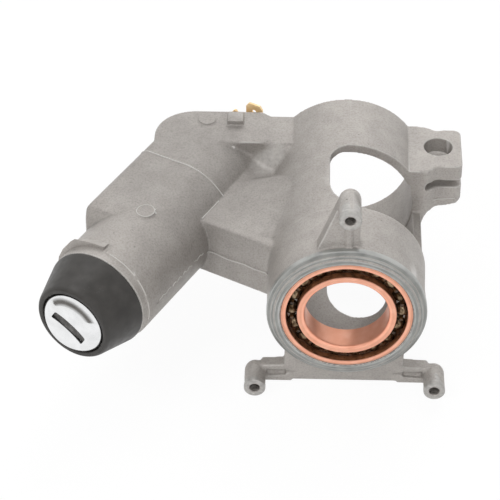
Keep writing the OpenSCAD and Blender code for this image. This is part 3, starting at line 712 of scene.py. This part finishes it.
inner_outline = (
    [(15.85, ring_back), (13.4, ring_back)]
    + [(13.4, 1.5), (13.45, 1.1), (13.6, 0.75), (13.85, 0.5), (14.2, 0.34), (14.5, ring_front)]
    + eased([(13.4, ring_front), (15.85, ring_front), (15.85, 2.0)], 0.4)[5:10]
    + groove(15.85, -1))
inner_ring = turned("bearing_ring_inner", inner_outline, Vector(), COLUMN, UP, 144)
finish_mesh(inner_ring, copper)
other_finish(
    inner_ring, gap_shade_copper,
    lambda place: place.y > 0.8 and math.hypot(place.x, place.z) > 14.4)
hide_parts("bearing_inner_ring")
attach(inner_ring, "inner_race")

# Eighteen polished steel balls run between the rings, kept apart by a brown moulded cage. The balls are
# painted dark with an amber tint, as painted shade in the gap and a painted reflection of the copper
# rings, so only amber glints show in the dark gap.
def dress(node, finish, edge=0.0):
    """Gives a CAD node its material, and small rounded edges that catch the light."""
    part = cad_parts[node]
    part.data.materials.clear()
    part.data.materials.append(finish)
    weld = part.modifiers.new("weld", "WELD")
    weld.merge_threshold = 0.000002
    if edge:
        bevel = part.modifiers.new("edge", "BEVEL")
        bevel.width = edge * MM
        bevel.segments = 2
        bevel.limit_method = "ANGLE"
        bevel.angle_limit = math.radians(35.0)


cage_brown, tree, shader = new_finish("cage_brown", (0.06, 0.03, 0.012), 0.0, 0.35)
cage_tone = shades(
    tree, grain(tree, 350.0, 4.0), (0.35, (0.025, 0.014, 0.007)), (0.7, (0.14, 0.065, 0.022)))
coat(tree, shader, cage_tone, spread(tree, grain(tree, 500.0), 0.25, 0.5))
relief(tree, shader, (grain(tree, 900.0, 3.0), 0.03))

ball_count = 18
cage_outline = eased([(16.7, 7.7), (18.6, 7.7), (18.6, 5.9), (16.7, 5.9)], 0.3)
cage = turned("ball_cage", cage_outline, Vector(), COLUMN, UP, 108)
look_at(cage)
half_step = math.pi / ball_count
bpy.ops.object.mode_set(mode="EDIT")
bpy.ops.mesh.select_all(action="DESELECT")
bpy.ops.mesh.primitive_cube_add(
    size=MM, rotation=(0.0, -half_step, 0.0), scale=(1.3, 4.0, 1.1),
    location=(ball_path * MM * math.cos(half_step), 4.4 * MM, ball_path * MM * math.sin(half_step)))
bpy.ops.mesh.bevel(offset=0.25 * MM, segments=2, affect="EDGES")
bpy.ops.mesh.spin(
    steps=ball_count - 1, dupli=True, angle=2 * math.pi * (ball_count - 1) / ball_count,
    center=(0.0, 0.0, 0.0), axis=COLUMN)
bpy.ops.mesh.select_all(action="SELECT")
bpy.ops.mesh.normals_make_consistent(inside=False)
bpy.ops.object.mode_set(mode="OBJECT")
finish_mesh(cage, cage_brown)
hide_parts("bearing_cage")
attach(cage, "ball_set")

# painted shade and painted reflection: the polished balls are dark with an amber tint
ball_steel, tree, shader = new_finish("ball_painted_shade", (0.2, 0.13, 0.07), 0.9, 0.16)
ball_tone = shades(
    tree, grain(tree, 500.0, 3.0), (0.4, (0.07, 0.04, 0.018)), (0.68, (0.42, 0.31, 0.2)))
coat(tree, shader, ball_tone, spread(tree, grain(tree, 600.0), 0.08, 0.25))
dress("bearing_balls", ball_steel)

# The lock's bezel is a black moulded cone pushed over the end of the barrel. It is satin with faint
# scuffs, and a thin dark gap is left round the turning cap.
black_plastic, tree, shader = new_finish("black_plastic", (0.03, 0.028, 0.026), 0.0, 0.42)
plastic_tone = shades(
    tree, grain(tree, 260.0, 5.0),
    (0.3, (0.026, 0.024, 0.022)), (0.7, (0.042, 0.039, 0.036)))
shader.inputs["Specular IOR Level"].default_value = 0.4
scuffs = spread(tree, grain(tree, 900.0, 2.0), 0.0, 0.25, 0.66, 0.78)
plastic_tone = mixed(tree, plastic_tone, (0.1, 0.095, 0.09), scuffs)
coat(tree, shader, plastic_tone, spread(tree, grain(tree, 450.0, 4.0), 0.36, 0.5))
relief(tree, shader, (grain(tree, 2600.0, 2.0), 0.01))

bezel_outline = eased(
    [(11.3, 2.9), (11.3, 0.42), (12.75, 0.4), (13.4, 1.3), (17.15, 14.1), (17.15, 14.8),
     (14.65, 14.8), (14.65, 9.65), (13.05, 4.95), (12.3, 2.9)], 0.45)
bezel = turned("lock_bezel_cone", bezel_outline, LOCK_FACE, LOCK, UP, 128)
finish_mesh(bezel, black_plastic)
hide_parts("lock_bezel")
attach(bezel, "body")

# The cap over the lock plug is pressed from sheet and chromed: a broad rounded rim and a slightly
# dished face with the key slot. It turns with the key.
chrome, tree, shader = new_finish("chrome", (0.83, 0.835, 0.84), 1.0, 0.1)
chrome_tone = shades(
    tree, grain(tree, 300.0, 4.0), (0.3, (0.76, 0.765, 0.77)), (0.7, (0.88, 0.885, 0.89)))
coat(tree, shader, chrome_tone, spread(tree, grain(tree, 800.0, 5.0), 0.06, 0.16))
hairlines = grain(tree, 500.0, 3.0, (1.0, 1.0, 14.0), (0.3, 0.5, 0.2))
relief(tree, shader, (hairlines, 0.003))

cap_outline = [
    (0.03, -1.34), (2.0, -1.38), (4.0, -1.53), (5.5, -1.75), (6.5, -1.95), (7.2, -2.08), (7.6, -2.12),
    (7.95, -2.06), (8.5, -1.75), (9.2, -1.2), (9.9, -0.55), (10.4, 0.02), (10.75, 0.5), (10.9, 0.95),
    (10.9, 3.0), (10.5, 3.0), (10.5, 1.0), (10.0, 0.25), (9.0, -0.75), (8.2, -1.45), (7.5, -1.62),
    (5.5, -1.5), (3.0, -1.25), (0.03, -1.2)]
cap = turned("chrome_cap", cap_outline, LOCK_FACE, LOCK, UP, 128)

slot_tilt = math.radians(32.0)
slot_length = 12.8
slot_width = 3.3
slot_depth = 8.0
bpy.ops.object.select_all(action="DESELECT")
bpy.ops.mesh.primitive_cube_add(size=1.0, location=(0.0, 0.0, 0.0))
slot_tool = bpy.context.object
open_mesh(slot_tool)
bpy.ops.transform.resize(value=Vector((slot_length, slot_depth, slot_width)) * MM)
bpy.ops.mesh.bevel(offset=0.5 * MM, segments=3, affect="EDGES")
bpy.ops.object.mode_set(mode="OBJECT")
slot_along = LOCK_SIDE * math.cos(slot_tilt) - UP * math.sin(slot_tilt)
slot_across = LOCK_SIDE * math.sin(slot_tilt) + UP * math.cos(slot_tilt)
for point in slot_tool.data.vertices:
    point.co = LOCK_FACE * MM + slot_along * point.co.x + LOCK * point.co.y + slot_across * point.co.z
apply_modifier(cap, "BOOLEAN", object=slot_tool, operation="DIFFERENCE", solver="EXACT")
bpy.data.objects.remove(slot_tool)
finish_mesh(cap, chrome)
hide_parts("plug_cap")
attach(cap, "key_rotor")

# Behind the cap are the sprung steel shutter that closes the slot, the zinc plug with its eight
# brass wafers and springs, and the zinc sleeve that holds the lock in the barrel with a pin.
dull_zinc, tree, shader = new_finish("dull_zinc", (0.42, 0.41, 0.38), 0.85, 0.45)
zinc_tone = shades(
    tree, grain(tree, 300.0, 5.0), (0.3, (0.33, 0.32, 0.3)), (0.7, (0.5, 0.49, 0.46)))
coat(tree, shader, zinc_tone, spread(tree, grain(tree, 500.0), 0.38, 0.55))
relief(tree, shader, (grain(tree, 1400.0, 3.0), 0.015))
for node in ("lock_sleeve", "lock_plug", "drive_shaft"):
    dress(node, dull_zinc, 0.12)

plain_steel, tree, shader = new_finish("plain_steel", (0.4, 0.4, 0.41), 0.95, 0.34)
steel_tone = shades(
    tree, grain(tree, 260.0, 5.0), (0.3, (0.3, 0.3, 0.31)), (0.7, (0.52, 0.52, 0.53)))
coat(tree, shader, steel_tone, spread(tree, grain(tree, 700.0), 0.26, 0.44))
relief(tree, shader, (grain(tree, 900.0, 3.0, (1.0, 1.0, 6.0)), 0.008))
for node in ("sleeve_pin", "lock_bolt", "bolt_cover", "switch_screw"):
    dress(node, plain_steel, 0.12)

shutter_steel, tree, shader = new_finish("shutter_steel", (0.12, 0.115, 0.11), 0.8, 0.4)
shutter_tone = shades(
    tree, grain(tree, 500.0, 4.0), (0.3, (0.06, 0.058, 0.055)), (0.7, (0.16, 0.155, 0.15)))
coat(tree, shader, shutter_tone, spread(tree, grain(tree, 900.0), 0.32, 0.5))
dress("slot_shutter", shutter_steel, 0.08)

spring_wire, tree, shader = new_finish("spring_wire", (0.45, 0.45, 0.46), 1.0, 0.28)
wire_tone = shades(
    tree, grain(tree, 600.0, 3.0), (0.3, (0.36, 0.36, 0.37)), (0.7, (0.55, 0.55, 0.56)))
coat(tree, shader, wire_tone, spread(tree, grain(tree, 900.0), 0.22, 0.36))
for node in ("plug_clip", "shutter_spring", "wafer_springs", "bolt_spring", "return_spring"):
    dress(node, spring_wire)

wafer_brass, tree, shader = new_finish("wafer_brass", (0.6, 0.42, 0.17), 0.95, 0.32)
wafer_tone = shades(
    tree, grain(tree, 500.0, 4.0), (0.3, (0.52, 0.35, 0.13)), (0.7, (0.68, 0.5, 0.22)))
coat(tree, shader, wafer_tone, spread(tree, grain(tree, 900.0), 0.26, 0.4))
for number in range(1, 9):
    dress("wafer_" + str(number), wafer_brass, 0.05)

# The ignition switch closes the rear of the barrel: a black moulded case with a turning rotor and
# copper contact bridge inside, and a brown laminate board that carries the terminals.
dress("switch_case", black_plastic, 0.2)

cream_plastic, tree, shader = new_finish("cream_plastic", (0.5, 0.45, 0.35), 0.0, 0.45)
cream_tone = shades(
    tree, grain(tree, 400.0, 4.0), (0.3, (0.44, 0.39, 0.29)), (0.7, (0.56, 0.51, 0.41)))
coat(tree, shader, cream_tone, spread(tree, grain(tree, 700.0), 0.38, 0.52))
dress("switch_rotor", cream_plastic, 0.15)

bare_copper, tree, shader = new_finish("bare_copper", (0.75, 0.38, 0.24), 1.0, 0.3)
bare_tone = shades(
    tree, grain(tree, 400.0, 4.0), (0.3, (0.66, 0.3, 0.18)), (0.7, (0.82, 0.46, 0.31)))
coat(tree, shader, bare_tone, spread(tree, grain(tree, 700.0), 0.24, 0.4))
dress("contact_bridge", bare_copper, 0.1)

laminate, tree, shader = new_finish("brown_laminate", (0.14, 0.07, 0.03), 0.0, 0.5)
laminate_tone = shades(
    tree, grain(tree, 260.0, 6.0), (0.3, (0.1, 0.048, 0.02)), (0.7, (0.19, 0.1, 0.045)))
coat(tree, shader, laminate_tone, spread(tree, grain(tree, 700.0, 4.0), 0.4, 0.6))
relief(tree, shader, (grain(tree, 1300.0, 3.0), 0.015))
dress("terminal_board", laminate, 0.2)

# Five flat blade terminals stand out of the board, punched from brass sheet with a hole for the
# connector's catch. They are bright, with the fine grain of the rolled sheet.
blade_brass, tree, shader = new_finish("blade_brass", (0.93, 0.68, 0.36), 0.6, 0.38)
blade_tone = shades(
    tree, grain(tree, 260.0, 5.0),
    (0.3, (0.89, 0.62, 0.3)), (0.55, (0.93, 0.68, 0.36)), (0.75, (0.95, 0.74, 0.44)))
coat(tree, shader, blade_tone, spread(tree, grain(tree, 600.0, 4.0), 0.32, 0.45))
relief(tree, shader, (grain(tree, 700.0, 3.0, (1.0, 1.0, 5.0)), 0.006))
for number in range(1, 6):
    dress("terminal_" + str(number), blade_brass, 0.1)

# The part lies on a plain pale studio floor in soft light from all round, strongest from behind,
# on a white ground.
floor_gap = 0.02
floor_height = cad_low.z - floor_gap * MM
bpy.ops.object.select_all(action="DESELECT")
bpy.ops.mesh.primitive_plane_add(size=6.0, location=(0.0, 0.0, floor_height))
floor = bpy.context.object
floor.name = "studio_floor"
pale, tree, shader = new_finish("pale_floor", (0.9, 0.9, 0.9), 0.0, 0.9)
plain_white = tree.nodes.new("ShaderNodeEmission")
plain_white.inputs["Color"].default_value = (1.0, 1.0, 1.0, 1.0)
plain_white.inputs["Strength"].default_value = 1.0
rays = tree.nodes.new("ShaderNodeLightPath")


def seen_by(tree, rays):
    """1 for camera, glossy and transmission rays, 0 for the others."""
    first = tree.nodes.new("ShaderNodeMath")
    first.operation = "MAXIMUM"
    second = tree.nodes.new("ShaderNodeMath")
    second.operation = "MAXIMUM"
    tree.links.new(rays.outputs["Is Camera Ray"], first.inputs[0])
    tree.links.new(rays.outputs["Is Glossy Ray"], first.inputs[1])
    tree.links.new(first.outputs["Value"], second.inputs[0])
    tree.links.new(rays.outputs["Is Transmission Ray"], second.inputs[1])
    return second.outputs["Value"]


# the rest of the floor's look is lit, so that it keeps the part's shadow
plain_share = 0.94
share = tree.nodes.new("ShaderNodeMath")
share.operation = "MULTIPLY"
share.inputs[1].default_value = plain_share
tree.links.new(seen_by(tree, rays), share.inputs[0])
blend = tree.nodes.new("ShaderNodeMixShader")
tree.links.new(share.outputs["Value"], blend.inputs["Fac"])
tree.links.new(shader.outputs["BSDF"], blend.inputs[1])
tree.links.new(plain_white.outputs["Emission"], blend.inputs[2])
tree.links.new(blend.outputs["Shader"], tree.nodes["Material Output"].inputs["Surface"])
floor.data.materials.append(pale)

world = bpy.data.worlds.new("studio_white")
world.use_nodes = True
bpy.context.scene.world = world
tree = world.node_tree
ambient = tree.nodes["Background"]
ambient.inputs["Color"].default_value = (1.0, 1.0, 1.0, 1.0)
ambient.inputs["Strength"].default_value = 0.29
white = tree.nodes.new("ShaderNodeBackground")
white.inputs["Color"].default_value = (1.0, 1.0, 1.0, 1.0)
white.inputs["Strength"].default_value = 1.0
rays = tree.nodes.new("ShaderNodeLightPath")
blend = tree.nodes.new("ShaderNodeMixShader")
tree.links.new(seen_by(tree, rays), blend.inputs["Fac"])
tree.links.new(ambient.outputs["Background"], blend.inputs[1])
tree.links.new(white.outputs["Background"], blend.inputs[2])

# a dark band round the studio gives polished metal something to mirror
around = tree.nodes.new("ShaderNodeTexCoord")
towards = tree.nodes.new("ShaderNodeVectorMath")
towards.operation = "DOT_PRODUCT"
towards.inputs[1].default_value = (0.641, 0.678, 0.36)
tree.links.new(around.outputs["Generated"], towards.inputs[0])
apart = tree.nodes.new("ShaderNodeMath")
apart.operation = "ADD"
apart.inputs[1].default_value = 0.56
tree.links.new(towards.outputs["Value"], apart.inputs[0])
either_side = tree.nodes.new("ShaderNodeMath")
either_side.operation = "ABSOLUTE"
tree.links.new(apart.outputs["Value"], either_side.inputs[0])
dark = tree.nodes.new("ShaderNodeBackground")
dark.inputs["Color"].default_value = (0.17, 0.16, 0.15, 1.0)
band_share = tree.nodes.new("ShaderNodeMath")
band_share.operation = "MULTIPLY"
in_band = spread(tree, either_side.outputs["Value"], 1.0, 0.0, 0.05, 0.24)
tree.links.new(in_band, band_share.inputs[0])
tree.links.new(rays.outputs["Is Glossy Ray"], band_share.inputs[1])
studio = tree.nodes.new("ShaderNodeMixShader")
tree.links.new(band_share.outputs["Value"], studio.inputs["Fac"])
tree.links.new(blend.outputs["Shader"], studio.inputs[1])
tree.links.new(dark.outputs["Background"], studio.inputs[2])
tree.links.new(studio.outputs["Shader"], tree.nodes["World Output"].inputs["Surface"])


def soft_lamp(name, place, size, power, mirrored=False):
    """A square soft light at a place in metres, aimed at the middle of the part."""
    bpy.ops.object.light_add(type="AREA", location=place)
    lamp = bpy.context.object
    lamp.name = name
    lamp.data.size = size
    lamp.data.energy = power
    lamp.visible_glossy = mirrored
    aim = Vector((-0.02, 0.04, 0.0)) - Vector(place)
    lamp.rotation_euler = aim.to_track_quat("-Z", "Y").to_euler()


soft_lamp("lamp_over", (-0.3, 0.3, 0.85), 0.5, 1.2, True)
soft_lamp("lamp_back", (0.2, 0.8, 0.6), 0.6, 4.2)
soft_lamp("lamp_back_low", (0.1, 0.9, 0.3), 0.6, 6.0)
soft_lamp("lamp_right", (0.85, -0.35, 0.25), 0.6, 0.1)
soft_lamp("lamp_left", (-0.4, -0.2, 0.38), 0.3, 1.3)
soft_lamp("lamp_front", (0.0, -0.5, 0.35), 0.3, 1.7)

# the camera looks down on the part from the front with a long lens
view_data = bpy.data.cameras.new("photo_camera")
view_data.lens = 162.94
view_data.sensor_width = 36.0
view_data.clip_start = 0.01
camera = bpy.data.objects.new("photo_camera", view_data)
bpy.context.scene.collection.objects.link(camera)
camera.location = Vector((-15.14, -535.91, 475.84)) * MM
gaze = Vector((-0.02214, 0.76631, -0.64209))
camera.rotation_euler = gaze.to_track_quat("-Z", "Y").to_euler()
bpy.context.scene.camera = camera
bpy.context.scene.view_settings.view_transform = "Standard"
